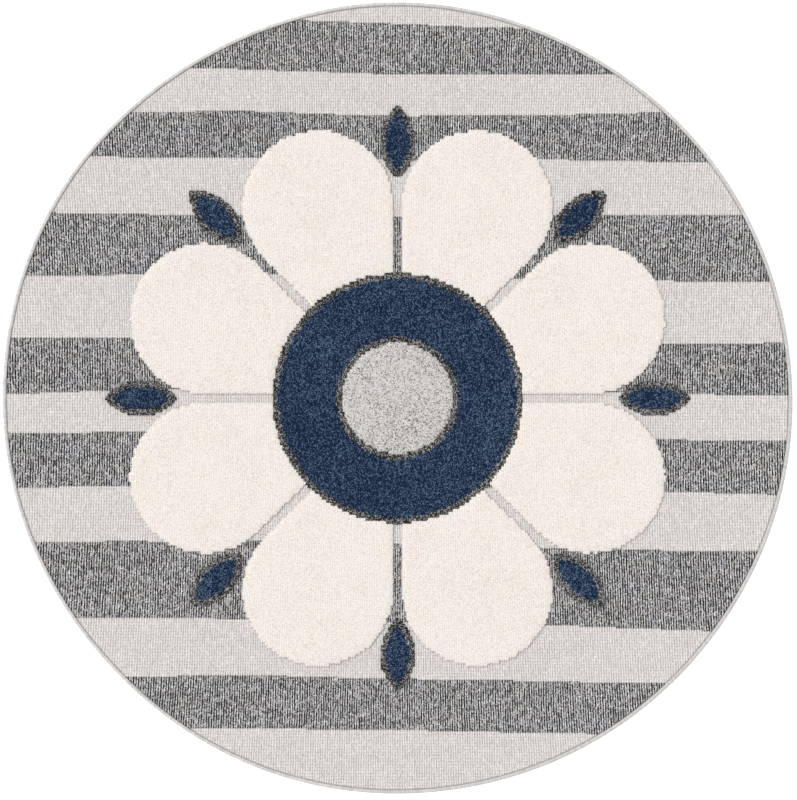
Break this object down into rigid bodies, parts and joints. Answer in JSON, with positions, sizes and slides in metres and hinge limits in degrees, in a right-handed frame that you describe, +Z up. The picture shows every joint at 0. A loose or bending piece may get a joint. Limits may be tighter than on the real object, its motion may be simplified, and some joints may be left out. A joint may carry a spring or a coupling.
{
  "type": "round striped area rug",
  "caption": "Round machine-woven floor rug: flat-woven stripes, a raised flower in cut pile and an oversewn yarn edge, lying flat on the floor.",
  "frame": {"origin": "middle of the underside, on the floor", "axes": "+Z up through the thickness, +Y towards the rug's upper edge in the usual view from above, stripes run along X"},
  "size_m": [1.2001, 1.2029, 0.011],
  "materials": {
    "flat_woven_ground": "flat-woven heat-set yarn in light and charcoal stripes",
    "cream_pile": "dense sheared cut pile, warm cream",
    "navy_pile": "dense sheared cut pile, navy",
    "charcoal_pile": "sheared cut pile, charcoal and light grey yarns mixed",
    "grey_pile": "sheared cut pile, light grey",
    "binding_yarn": "oversewn yarn, light grey"
  },
  "bodies": {
    "root": {"rug_field": "flat_woven_ground", "edge_binding": "binding_yarn"}
  },
  "joints": []
}
